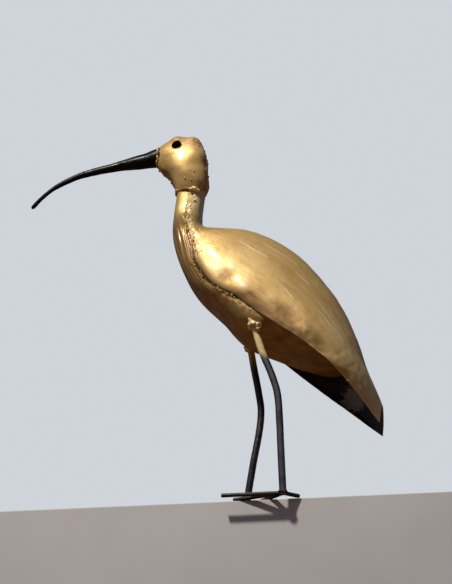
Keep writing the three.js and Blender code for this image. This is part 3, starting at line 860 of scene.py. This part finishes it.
def makeBelly():
    t = steps(belly["rows"])
    angle = np.linspace(0, math.pi, belly["columns"])
    points = bellySurface(t, angle)
    edge = edgeDistance(points)
    rows = np.broadcast_to(t[:, None], edge.shape)
    push = hammered(points, belly["hammer"], 5) * smooth(rows, *belly["hammerFrom"])
    for place in belly["dents"]:
        push = push + dent(points, *place)
    push = push + squared(angle, rows, belly)
    # long creases drawn down the breast
    around = np.broadcast_to(angle, rows.shape) * belly["creaseClose"]
    drawn = np.stack([rows * belly["creaseLong"], around, 0 * rows], -1)
    push = push + lumps(drawn, 1.0, 4.0) * belly["crease"] * between(rows, *belly["creaseRows"])
    push = push - stripe(rows, edge, *belly["inset"])
    wider = back["rollWidth"] * belly["rollWider"]
    push = push - back["roll"] * belly["rollShare"] * edgeRoll(rows, edge, wider)
    rough, pits = weldRoughness(points, edge + seamShift(rows), belly["weldWidth"])
    upper = 1 - smooth(rows, *weldLook["until"])
    push = push + rough * upper
    push = push + stripe(rows, edge, *belly["ripples"]) * lumpy(points, belly["besideWeld"])
    masks = paintMasksBelly(points, rows, edge, pits, upper)
    points = points + normalsOf(points) * push[..., None]
    piece = gridPiece("bellySheet", points, spread=flattenedPlace(rows, angle), **masks)
    piece.data.materials.append(bellyGold)
    piece.data.materials.append(insideBlack)
    return finishPiece(thicken(piece), "gold_paint", "belly_shell")


bellyPiece = makeBelly()
print("belly sheet", len(bellyPiece.data.polygons), "faces")

head = {
    "rows": 110, "columns": 150, "crownRows": [0.15, 0.27, 0.38], "firstRow": 0.48, "lastRow": 7,
    "crown": 575.4, "crownSoft": 1.8, "sidesBack": 9, "sidesRows": (0, 1, 3, 4.5),
    "hammer": [(40, 0.7), (16, 0.3), (7, 0.1)], "squareness": 1.5, "squareFrom": (1.0, 2.0),
    "uprightUntil": (0.3, 0.9),     # the crown's middle is only pushed upwards
    "eye": {"x": -43.5, "z": 558.7, "length": 16.0, "height": 15.4, "tilt": 18, "taper": 0.12,
            "corners": 40, "cutter": 60},
    "dents": [((-14, -16, 565), (1, 0, 0.3), 2.6, 2.0, 0.9), ((-16.5, -25.5, 511), (1, 0, 0), 2.0, 2.0, 1.0),
              ((-27, -22, 495.5), (1, 0, 0.4), 3.0, 2.0, 0.9), ((-20, 26, 512), (1, 0, 0), 3, 2, 0.9),
              ((-58, -23, 522), (10, -3, -16), 22, 11, 3.4), ((-58, 23, 522), (10, 3, -16), 22, 11, 3.4),
              ((-33, -29, 522), (8, 2, -40), 28, 13, -1.0), ((-33, 29, 522), (8, -2, -40), 28, 13, -1.0),
              ((-45, -15, 571), (10, 0, 1), 9, 8, -3.8), ((-45, 15, 571), (10, 0, 1), 9, 8, -3.8),
              ((-28, -15, 572), (10, 0, 0), 6, 9, 0.8), ((-28, 15, 572), (10, 0, 0), 6, 9, 0.8)],
    "snout": {"z": 549.4, "from": 14, "to": 25, "lift": 2.0, "frontOf": -40},
    "seam": {"depth": 2.6, "degrees": 18, "from": (0.7, 1.6)},
    "ringMark": {"at": (-53.7, -28.2, 547.5), "radius": 3.6, "width": 0.8, "depth": 0.35},
    "paintMasks": {
        # painted shade away from the shine, on the crown, nape and chin; soot with painted shade beside the
        # nape seam
        "shine": (-33, 26, 545), "shineReach": 15, "mattShade": 0.16, "napeShade": 0.15, "napeReach": 38,
        "crownShade": 0.34, "crownFrom": (550, 562), "chin": ((-64, 20, 526), (12, 0, -20), 20, 14, 0.5),
        "sootAndShade": 0.8, "sootAndShadeAt": 27, "sootAndShadeWidth": 5, "sootAndShadeFrom": (0.9, 1.6),
        "sootAndShadeEven": 0.7, "sootAndShadeMarks": (9, 2.2), "sootAndShadeClouds": 0.8,
    },
}


def eyeOutline(count):
    eye = head["eye"]
    turn = math.radians(eye["tilt"])
    outline = []
    for n in range(count):
        angle = n / count * 2 * math.pi
        a = math.cos(angle) * eye["length"] / 2
        b = math.sin(angle) * (1 + eye["taper"] * math.cos(angle)) * eye["height"] / 2
        x = eye["x"] + a * math.cos(turn) - b * math.sin(turn)
        outline.append((x, eye["z"] + a * math.sin(turn) + b * math.cos(turn)))
    return outline


def beatHead(points, t, angle, behind):
    # the head's surface with its dents, brow, snout and nape seam
    wrapped = np.concatenate([points[:, -1:], points, points[:, :1]], axis=1)
    normals = normalsOf(wrapped)[:, 1:-1]
    upright = (1 - smooth(t, *head["uprightUntil"]))[:, None, None]
    normals = normals * (1 - upright) + np.array([0, 0, 1.0]) * upright
    push = hammered(points, head["hammer"], 9)
    for place in head["dents"]:
        push = push + dent(points, *place)
    push = push + head["squareness"] * np.sin(2 * angle) ** 2 * smooth(t, *head["squareFrom"])[:, None]
    snout, seam, mark = head["snout"], head["seam"], head["ringMark"]
    ahead = np.hypot(points[..., 1], points[..., 2] - snout["z"]) + 100 * (points[..., 0] > snout["frontOf"])
    push = push + snout["lift"] * (1 - smooth(ahead, snout["from"], snout["to"]))
    push = push - seam["depth"] * bell(behind, seam["degrees"]) * smooth(t, *seam["from"])[:, None]
    away = np.linalg.norm(points - np.array(mark["at"]), axis=-1)
    push = push - mark["depth"] * bell(away - mark["radius"], mark["width"])
    points = points + normals * push[..., None]
    over = np.maximum(points[..., 2] - head["crown"], 0)
    points[..., 2] -= over - head["crownSoft"] * np.tanh(over / head["crownSoft"])
    return points


def paintMasksHead(points, t, behind):
    # masks for the head's paint: matt away from the shine, painted shade there and on the crown, nape and
    # chin, and soot with painted shade beside the nape seam
    paintMasks = head["paintMasks"]
    matt = 1 - bell(mirrored(points, paintMasks["shine"]), paintMasks["shineReach"])
    paintedShade = paintMasks["mattShade"] * matt + paintMasks["crownShade"] * smooth(points[..., 2], *paintMasks["crownFrom"])
    paintedShade = paintedShade + paintMasks["napeShade"] * bell(behind, paintMasks["napeReach"])
    (x, y, z), *chin = paintMasks["chin"]
    for side in (-1, 1):
        paintedShade = paintedShade - dent(points, (x, y * side, z), *chin)
    grimeAndShade = paintMasks["sootAndShade"] * bell(behind - paintMasks["sootAndShadeAt"], paintMasks["sootAndShadeWidth"])
    clouds = paintMasks["sootAndShadeEven"] + paintMasks["sootAndShadeClouds"] * lumps(points, *paintMasks["sootAndShadeMarks"])
    grimeAndShade = grimeAndShade * smooth(t, *paintMasks["sootAndShadeFrom"])[:, None] * clouds
    return {"matt": matt, "paintedShade": paintedShade, "grimeAndShade": grimeAndShade}


def capCrown(build):
    build.verts.ensure_lookup_table()
    ring = [build.verts[n] for n in range(head["columns"])]
    top = build.verts.new(sum((v.co for v in ring), Vector()) / len(ring))
    for n in range(len(ring)):
        face = build.faces.new((ring[n], ring[(n + 1) % len(ring)], top))
        face.smooth = True


def cutEyes(piece):
    # one prism through both sides of the head
    eye = head["eye"]
    count = eye["corners"]
    outline = eyeOutline(count)
    corners = [tuple(toFrame((x, y, z))) for y in (-eye["cutter"], eye["cutter"]) for x, z in outline]
    sides = [(n, (n + 1) % count, (n + 1) % count + count, n + count) for n in range(count)]
    ends = [tuple(range(count))[::-1], tuple(range(count, 2 * count))]
    cutterMesh = bpy.data.meshes.new("eyeCutter")
    cutterMesh.from_pydata(corners, [], sides + ends)
    closeMesh(cutterMesh)
    cutter = linked("eyeCutter", cutterMesh)
    hole = piece.modifiers.new("eyes", "BOOLEAN")
    hole.object = cutter
    hole.operation = "DIFFERENCE"
    hole.solver = "EXACT"
    settle(piece)
    bpy.data.objects.remove(cutter)


def makeHead():
    rest = head["rows"] - len(head["crownRows"])
    t = np.concatenate([head["crownRows"], np.linspace(head["firstRow"], head["lastRow"], rest)])
    angle = circle(head["columns"])
    behind = np.degrees(np.minimum(angle, 2 * math.pi - angle))     # the nape seam lies at 0
    points = beatHead(headSurface(t, angle), t, angle, behind)
    piece = gridPiece("headSheet", points, closed=True, **paintMasksHead(points, t, behind))
    piece.data.materials.append(headGold)
    piece.data.materials.append(insideBlack)
    closeMesh(piece.data, capCrown)
    thicken(piece)
    cutEyes(piece)
    return finishPiece(piece, "gold_paint", "head"), points


headPiece, headPoints = makeHead()
print("head", len(headPiece.data.polygons), "faces")


def onHead(x, z, side):
    # how far out the head's surface lies at a place seen from the side
    near = headPoints.reshape(-1, 3)
    near = near[near[:, 1] * side > 0]
    gap = (near[:, 0] - x) ** 2 + (near[:, 2] - z) ** 2
    closest = np.argsort(gap)[:4]
    weight = 1 / (gap[closest] + 0.05)
    return float((near[closest, 1] * weight).sum() / weight.sum())


# lift is outwards, and evened is how many points each way share their depth
eyeRim = {"points": 48, "lift": 0.15, "evened": 3,
          "bar": {"Radius": 0.0006, "Sides": 8, "Step": 0.0008, "Wobble": 0.0002, "Floor": -1.0}}
eyePaths = []
for side in (-1, 1):
    outline = eyeOutline(eyeRim["points"])
    depths = np.array([onHead(x, z, side) for x, z in outline])
    reach = eyeRim["evened"]
    depths = sum(np.roll(depths, n) for n in range(-reach, reach + 1)) / (2 * reach + 1)
    eyePaths.append(([(x, y + eyeRim["lift"] * side, z) for (x, z), y in zip(outline, depths)], True))
eyeRims = grow("eyeRims", barTree, eyePaths, Paint=weldGold, **eyeRim["bar"])
finishPiece(eyeRims, "gold_paint")

bill = {
    "rows": np.array([  # x, z, radius, from the face to the tip
        [-62, 551, 16.5], [-77, 549.4, 14.3], [-90, 546.8, 12.1], [-106, 544.3, 10.8], [-124, 541.8, 8.6],
        [-145, 538.3, 6.7], [-170, 533.8, 5.8], [-195, 527.8, 4.7], [-218, 518.2, 4.1], [-236, 507.8, 3.2],
        [-252, 494, 3], [-262, 482.8, 3.1], [-265.0, 479.3, 2.2]]),
    "steps": 150, "sides": 36, "flatten": 0.06,
    "lumps": [(14, 2.0, 0.35), (5, 6.0, 0.12)], "calmUnder": 6,     # a thinner bar has less of them
    "tip": [(0.82, 0.7), (0.5, 1.1), (0.05, 1.3)],     # share of the last ring, and how far ahead of it
}


def makeBill():
    rows = spline(bill["rows"], np.linspace(0, len(bill["rows"]) - 1, bill["steps"]))
    centre = np.stack([rows[:, 0], 0 * rows[:, 0], rows[:, 1]], -1)
    run = np.gradient(centre, axis=0)
    run /= np.linalg.norm(run, axis=-1, keepdims=True)
    up = np.cross(run, [0, 1, 0])
    up *= np.sign(up[:, 2:3])
    angle = circle(bill["sides"])
    radius = rows[:, 2, None]
    side = np.cos(angle)[None] * radius * (1 - bill["flatten"])
    lift = np.sin(angle)[None] * radius
    points = centre[:, None] + side[..., None] * np.array([0, 1, 0]) + lift[..., None] * up[:, None]
    normals = (points - centre[:, None]) / radius[..., None]
    push = lumpy(points, bill["lumps"]) * np.minimum(radius / bill["calmUnder"], 1)
    points = points + normals * push[..., None]
    end = points[-1]
    middle = end.mean(axis=0)
    tip = [middle + (end - middle) * share + run[-1] * ahead for share, ahead in bill["tip"]]
    piece = gridPiece("billCone", np.concatenate([points, tip]), closed=True)
    piece.data.materials.append(billBlack)
    closeMesh(piece.data, lambda build: bmesh.ops.holes_fill(
        build, edges=[edge for edge in build.edges if edge.is_boundary]))
    piece.data.shade_smooth()
    return finishPiece(piece, "black_paint", "bill")


billPiece = makeBill()
print("bill", len(billPiece.data.polygons), "faces")

weldRuns = {  # spacing, smallest and largest blob, jitter, voxel and ripple in metres, then seed and paint
    "napeWeld": (0.0024, 0.0014, 0.0026, 0.0014, 0.0006, 0.0012, 3, weldGold),
    "throatWeld": (0.0022, 0.0012, 0.0024, 0.0013, 0.0005, 0.0014, 5, weldGold),
    "spatter": (0.0010, 0.0008, 0.0013, 0.0004, 0.0004, 0.0006, 14, knotGold),
    "neckBlob": (0.0022, 0.0026, 0.0040, 0.0008, 0.0006, 0.0012, 6, knotGold),
    "neckRingWeld": (0.0014, 0.0018, 0.0028, 0.0008, 0.0006, 0.0008, 12, weldGold),
    "billWeld": (0.0015, 0.0012, 0.0022, 0.0012, 0.0005, 0.0014, 21, weldGold),
    "neckSeamWeld": (0.0055, 0.0008, 0.0018, 0.0014, 0.0005, 0.0008, 31, knotGold),
    "bodySeamWeld": (0.0034, 0.0009, 0.0020, 0.0016, 0.0005, 0.0012, 43, darkWeldGold),
    "tailTacks": (0.0018, 0.0012, 0.0019, 0.0005, 0.0004, 0.0005, 8, weldGold),
    "legWeldLeft": (0.0026, 0.0028, 0.0046, 0.0014, 0.0006, 0.0016, 17, knotGold),
    "legWeldRight": (0.0026, 0.0028, 0.0046, 0.0014, 0.0006, 0.0016, 26, knotGold),
    "footWeldLeft": (0.0032, 0.0016, 0.0026, 0.0006, 0.0005, 0.0006, 5, toeBlack),
    "footWeldRight": (0.0032, 0.0016, 0.0026, 0.0006, 0.0005, 0.0006, 5, toeBlack),
}


def layWeld(name, paths, slot="gold_paint", nodes=()):
    labels = ("Spacing", "Smallest", "Largest", "Jitter", "Voxel", "Ripple", "Seed", "Paint")
    bead = grow(name, beadTree, paths, **dict(zip(labels, weldRuns[name])))
    return finishPiece(bead, slot, *nodes)


def ringPath(count, centre, radiusX, radiusY, radiusZ=0.0):
    # round the centre, lying flat unless radiusZ lifts it
    x, y, z = centre
    return [(x + radiusX * math.cos(a), y + radiusY * math.sin(a), z + radiusZ * math.cos(a))
            for a in circle(count)]


headWelds = {
    "napeColumns": (-9, -5, -2, 5), "napeRows": range(20, 107, 3), "napeOffset": (-1.3, 0, -0.6),
    "throatColumn": 75, "throatRows": range(58, 109, 3), "throatOffset": (0.9, 0, 0),
    "spatter": [(-16.5, 511), (-21, 497), (-44, 503), (-14, 566), (-20, 568), (-30, 500), (-12, 556)],
    "spatterRun": 0.8,
    "blob": [(-19.5, -21.0, 485.8), (-15, -20.5, 484.5), (-11, -19, 482)],
    "collar": (-45.6, -3.9, 486.5, 20.6), "collarSag": 4, "sagAt": 305, "sagWidth": 28,
    "billRing": (40, (-74.2, 0, 549.4), 0.4, 14.6, 14.8),
}


def headPath(column, rows, offset):
    return [headPoints[n, column] + offset for n in rows], False


def spatterBead(x, z, side):
    y = onHead(x, z, side)
    run = headWelds["spatterRun"]
    return [(x, y, z), (x + run, y, z - run)], False


def collarPath():
    angle = circle(72)
    ring = ovalRing(np.array(headWelds["collar"]), angle)
    sag = bell(np.degrees(angle) - headWelds["sagAt"], headWelds["sagWidth"])
    ring[:, 2] -= headWelds["collarSag"] * sag
    return ring, True


layWeld("napeWeld", [headPath(column, headWelds["napeRows"], headWelds["napeOffset"])
                     for column in headWelds["napeColumns"]])
layWeld("throatWeld", [
    headPath(headWelds["throatColumn"], headWelds["throatRows"], headWelds["throatOffset"])])
layWeld("spatter", [spatterBead(x, z, side) for x, z in headWelds["spatter"] for side in (-1, 1)])
layWeld("neckBlob", [(headWelds["blob"], False)])
layWeld("neckRingWeld", [collarPath()])
layWeld("billWeld", [(ringPath(*headWelds["billRing"]), True)])

seamWelds = {
    "every": 4, "neckRows": (-2.9, 1.7), "neckColumns": (1, 4, 8), "neckLift": 0.5,
    "bodyRows": (1.6, 4.35), "bodyIn": 0.8, "bodyAhead": 1.4, "bodyDown": 1.8,
    "tackFrom": 205.5, "tackTo": 210.0,
}
seamRows = steps(back["rows"])


def seamSteps(low, high):
    return [n for n in range(0, len(seamRows), seamWelds["every"]) if low < seamRows[n] < high]


upperPaths, lowerPaths = [], []
for side in (-1, 1):
    for across in seamWelds["neckColumns"]:
        spots = []
        for n in seamSteps(*seamWelds["neckRows"]):
            columnWidth = np.linalg.norm(backPoints[n, 1] - backPoints[n, 0])
            column = across + int(seamShift(seamRows[n]) / columnWidth)
            spot = backPoints[n, column if side < 0 else -1 - column]
            spots.append(spot - (0, seamWelds["neckLift"] * side, 0))
        upperPaths.append((spots, False))
    offset = (seamWelds["bodyAhead"], seamWelds["bodyIn"] * side, seamWelds["bodyDown"])
    column = 0 if side < 0 else -1
    lowerPaths.append(([backPoints[n, column] - offset for n in seamSteps(*seamWelds["bodyRows"])], False))
layWeld("neckSeamWeld", upperPaths)
layWeld("bodySeamWeld", lowerPaths)
tack = [p for p in backPoints[:, 1] if seamWelds["tackFrom"] < p[0] < seamWelds["tackTo"]]
layWeld("tailTacks", [(tack, False)])
print("welds laid")
legs = {  # x, y, z of the bar's middle, from the belly to the ground
    "left": np.array([
        [71, -61, 257], [76.2, -60, 242], [87.2, -58, 203], [99.6, -56, 170], [107.6, -53.5, 140],
        [109.8, -50, 100], [110.8, -47, 57], [112.4, -42, -2]], float),
    "right": np.array([
        [52, 59, 279], [54.7, 58, 266], [61.3, 55.5, 225], [68.1, 52.5, 186], [71.8, 50.5, 155],
        [68.6, 48.5, 120], [60.5, 45.5, 74], [48.7, 42, -2]], float),
}
legSteps = 90
legBar = {"Radius": 0.005, "Sides": 28, "Step": 0.0022, "Wobble": 0.0006, "Floor": 0.0}
knots = {  # middle of the weld at the leg's top, and blobs from there: along x, outwards, up
    "left": ((78, -62, 243), [(-3, 1, 4), (1, 2, 0), (3, 2, -3), (4, 2.6, -8)]),
    "right": ((56, 59.5, 259), [(-3, 1, 4), (1, 2, 0), (3, 2, -3)]),
}
knotRing = {"points": 19, "radiusX": 6.5, "radiusY": 5.0, "out": 1.5, "wave": 2.4, "down": 1}
feet = {  # each toe's heading in degrees from the bill's way, and its length
    "left": [(0, 85), (17, 74), (43, 61), (140, 26)], "right": [(14, 85), (-5, 84), (-32, 68), (205, 26)],
}
toeBar = {"Radius": 0.0029, "Sides": 20, "Step": 0.0022, "Wobble": 0.0005, "Floor": 0.0}
toeLies = {"height": 0.3, "start": 1.5}     # the bar's middle, and how far from the leg's it starts
footRing = {"points": 15, "height": 1.6, "radius": 5.5}


def knotPaths(side):
    # a wavy ring round the leg's top, and a few blobs on its outer side
    (x, y, z), blobs = knots[side]
    out = -1 if side == "left" else 1
    look = knotRing
    ring = [(x + look["radiusX"] * math.cos(a), y + look["radiusY"] * math.sin(a) + out * look["out"],
             z + look["wave"] * math.sin(2 * a) - look["down"]) for a in circle(look["points"])]
    core = [(x + along, y + out * outwards, z + up) for along, outwards, up in blobs]
    return [(ring, True), (core, False)]


def toePath(footX, footY, heading, length):
    a = math.radians(heading)
    return [(footX - math.cos(a) * run, footY + math.sin(a) * run, toeLies["height"])
            for run in (toeLies["start"], length * 0.5, length)]


for side, path in legs.items():
    title = side.title()
    rows = spline(path, np.linspace(0, len(path) - 1, legSteps))
    leg = grow("leg" + title, barTree, [(rows, False)], Paint=legPaints[side], **legBar)
    finishPiece(leg, "black_paint", "leg_" + side)
    layWeld("legWeld" + title, knotPaths(side), nodes=["weld_" + side])
    footX, footY = path[-1][:2]
    toePaths = [(toePath(footX, footY, heading, length), False) for heading, length in feet[side]]
    toes = grow("toes" + title, barTree, toePaths, Paint=toeBlack, **toeBar)
    finishPiece(toes, "black_paint", *["toe_%s_%d" % (side, n + 1) for n in range(len(toePaths))])
    footAt = (footX, footY, footRing["height"])
    ring = ringPath(footRing["points"], footAt, footRing["radius"], footRing["radius"])
    layWeld("footWeld" + title, [(ring, True)], slot="black_paint")
print("legs and feet stand")

stage = {
    "edge": -0.0245, "depth": 1.6, "width": 3.0, "height": 0.6, "rounding": 0.0015,
    "pale": [(0.72, 0.71, 0.69, 1), (0.78, 0.77, 0.75, 1)],
    "toneScale": 6.0, "peelScale": 200.0, "roughness": 0.8,
    "bounce": (0.24, 0.115, 0.045, 1),     # the floor's colour in what the gold reflects
}


def makeFloor():
    half = stage["width"] / 2
    corners = [(x, y, z) for z in (-stage["height"], 0) for y in (stage["edge"], stage["depth"])
               for x in (-half, half)]
    mesh = bpy.data.meshes.new("floor")
    mesh.from_pydata(corners, [], [
        (0, 2, 3, 1), (4, 5, 7, 6), (0, 1, 5, 4), (2, 6, 7, 3), (0, 4, 6, 2), (1, 3, 7, 5)])
    floor = linked("floor", mesh)
    soft = floor.modifiers.new("edges", "BEVEL")
    soft.width = stage["rounding"]
    soft.segments = 3
    made, tree, shader = newMaterial("paleFloor")
    where = put(tree, "ShaderNodeTexCoord").outputs["Object"]
    tone = use(tree, mottle, Vector=where, Scale=stage["toneScale"], Peel_Scale=stage["peelScale"])
    pale = mixColour(tree, tone["Tone"], *stage["pale"])
    seen = put(tree, "ShaderNodeLightPath").outputs["Is Camera Ray"]
    tree.links.new(mixColour(tree, seen, stage["bounce"], pale), shader.inputs["Base Color"])
    shader.inputs["Roughness"].default_value = stage["roughness"]
    mesh.materials.append(made)


makeFloor()

view = {  # height is that of the picture at the target's distance
    "azimuth": 8, "elevation": 24, "distance": 3.0, "height": 0.8468, "target": (0.03652, 0, 0.32576),
    "sensor": 24, "farthest": 50,
}


def makeCamera():
    a, e = math.radians(view["azimuth"]), math.radians(view["elevation"])
    forward = Vector((-math.sin(a) * math.cos(e), math.cos(a) * math.cos(e), math.sin(e)))
    right = Vector((math.cos(a), math.sin(a), 0))
    up = right.cross(forward)
    data = bpy.data.cameras.new("photoCamera")
    data.sensor_fit = "VERTICAL"
    data.sensor_height = view["sensor"]
    data.lens = view["sensor"] * view["distance"] / view["height"]
    data.clip_end = view["farthest"]
    camera = bpy.data.objects.new("photoCamera", data)
    bpy.context.scene.collection.objects.link(camera)
    turn = Matrix((right, up, -forward)).transposed().to_4x4()
    camera.matrix_world = Matrix.Translation(Vector(view["target"]) - forward * view["distance"]) @ turn
    bpy.context.scene.camera = camera


makeCamera()

lights = {  # azimuth from straight in front towards the right, elevation, distance, size, watts, colour
    "key": (-26, 51, 2.4, 0.25, 54, (1.0, 0.94, 0.85)),
    "side": (-80, 25, 2.6, 1.2, 1.0, (0.85, 0.92, 1.0)),
}
for name, (azimuth, elevation, distance, size, watts, colour) in lights.items():
    a, e = math.radians(azimuth), math.radians(elevation)
    direction = Vector((math.sin(a) * math.cos(e), -math.cos(a) * math.cos(e), math.sin(e)))
    data = bpy.data.lights.new(name, "AREA")
    data.shape = "DISK"
    data.size = size
    data.energy = watts
    data.color = colour
    lamp = bpy.data.objects.new(name, data)
    bpy.context.scene.collection.objects.link(lamp)
    lamp.location = Vector(view["target"]) + direction * distance
    lamp.rotation_euler = direction.to_track_quat("Z", "Y").to_euler()

surroundings = {
    "bands": [  # what the metal reflects, from straight below to straight above
        (0.0, (0.12, 0.055, 0.018, 1)), (0.44, (0.085, 0.047, 0.024, 1)), (0.5, (0.09, 0.085, 0.09, 1)),
        (0.62, (0.08, 0.10, 0.16, 1)), (1.0, (0.07, 0.09, 0.16, 1))],
    "behind": (0.62, 0.66, 0.70, 1),     # what the camera sees
}
bpy.context.scene.view_settings.view_transform = "Standard"
world = bpy.data.worlds.new("studio")
bpy.context.scene.world = world
world.use_nodes = True
sky = world.node_tree
place = put(sky, "ShaderNodeTexCoord").outputs["Generated"]
height = put(sky, "ShaderNodeSeparateXYZ", None, {0: place}).outputs[2]
shell = put(sky, "ShaderNodeValToRGB", None, {0: maths(sky, "MULTIPLY_ADD", height, 0.5, 0.5)})
while len(shell.color_ramp.elements) < len(surroundings["bands"]):
    shell.color_ramp.elements.new(0.5)
for element, (position, colour) in zip(shell.color_ramp.elements, surroundings["bands"]):
    element.position = position
    element.color = colour
seen = put(sky, "ShaderNodeLightPath").outputs["Is Camera Ray"]
shown = mixColour(sky, seen, shell.outputs[0], surroundings["behind"])
backing = sky.nodes["Background"]
sky.links.new(shown, backing.inputs["Color"])
backing.inputs["Strength"].default_value = 1.0
print("floor, camera and lights set")
